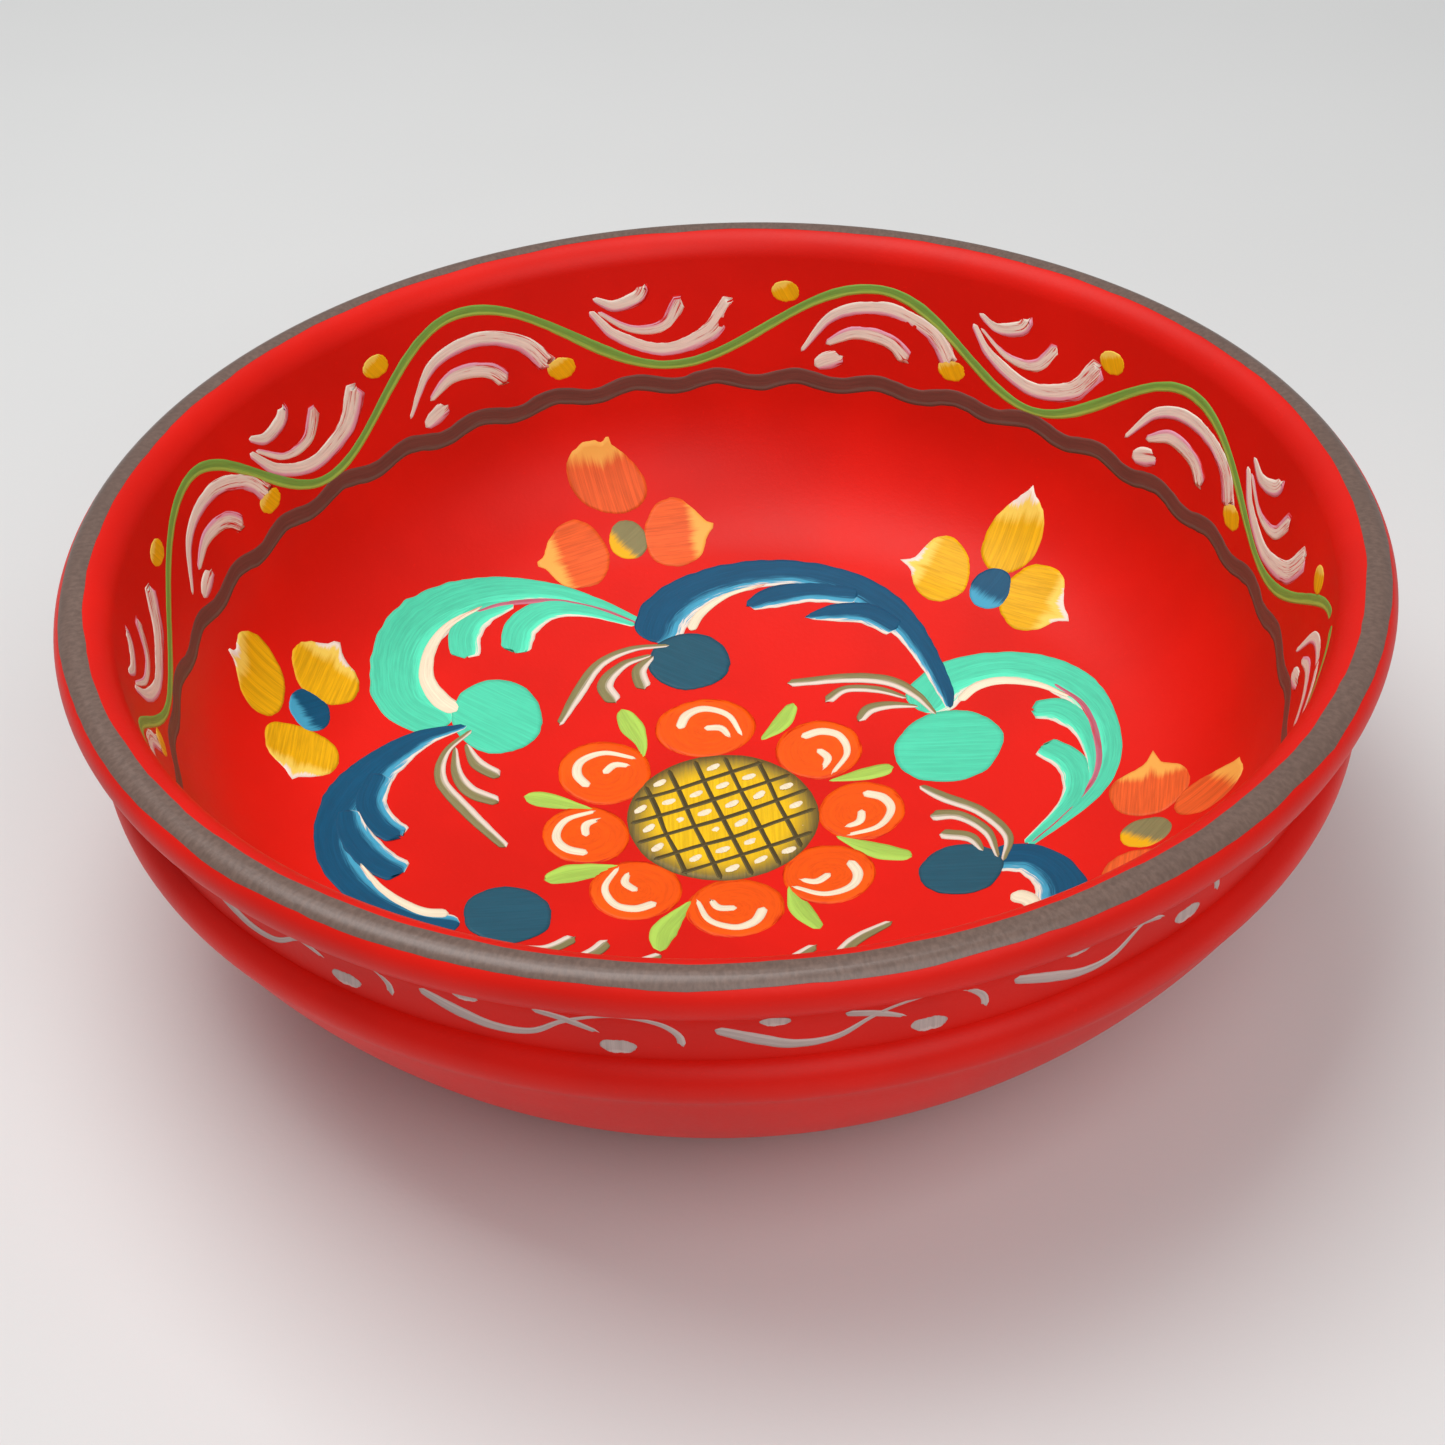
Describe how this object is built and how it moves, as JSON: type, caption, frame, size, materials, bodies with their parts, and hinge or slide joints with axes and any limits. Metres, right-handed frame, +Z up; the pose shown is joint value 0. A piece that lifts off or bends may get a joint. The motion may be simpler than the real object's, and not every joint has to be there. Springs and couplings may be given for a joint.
{
  "type": "turned wooden bowl",
  "caption": "Turned wooden bowl with a rolled lip, a cove and a bead outside, painted red inside and out with floral scrollwork, for serving or display.",
  "frame": {"origin": "centre of the foot, on the surface that the bowl stands on", "axes": "+Z up along the turning axis; +X and +Y lie in the table's plane, with the viewer of the painted design on the -Y side"},
  "size_m": [0.2806, 0.2806, 0.092],
  "materials": {
    "bare_wood": "turned and sanded",
    "red_ground": "satin oil paint",
    "brown_band": "satin oil paint",
    "brown_line": "satin oil paint",
    "vine_green": "satin oil paint",
    "white_paint": "satin oil paint",
    "yellow_paint": "satin oil paint",
    "teal_paint": "satin oil paint",
    "blue_paint": "satin oil paint",
    "olive_paint": "satin oil paint",
    "orange_paint": "satin oil paint",
    "cream_paint": "satin oil paint",
    "leaf_green": "satin oil paint",
    "gold_paint": "satin oil paint",
    "dark_paint": "satin oil paint",
    "grey_white_paint": "satin oil paint"
  },
  "bodies": {
    "root": {"turned_bowl": "bare_wood", "ground_coat_inside": "red_ground", "ground_coat_outside": "red_ground", "rim_band": "brown_band", "wavy_line": "brown_line", "border_vine": "vine_green", "crest_leaves": "white_paint", "trough_leaves": "white_paint", "vine_buds": "yellow_paint", "teal_scroll_roots": "teal_paint", "teal_scrolls": "teal_paint", "blue_scroll_roots": "blue_paint", "blue_scrolls": "blue_paint", "olive_tendrils": "olive_paint", "orange_tulip_petals": "orange_paint", "orange_tulip_hearts": "olive_paint", "yellow_tulip_petals": "yellow_paint", "yellow_tulip_hearts": "blue_paint", "flower_petals": "orange_paint", "petal_highlights": "cream_paint", "flower_leaves": "leaf_green", "flower_disc": "gold_paint", "disc_lattice": "dark_paint", "disc_seeds": "cream_paint", "cove_scrollwork": "grey_white_paint", "cove_dots": "grey_white_paint"}
  },
  "joints": []
}
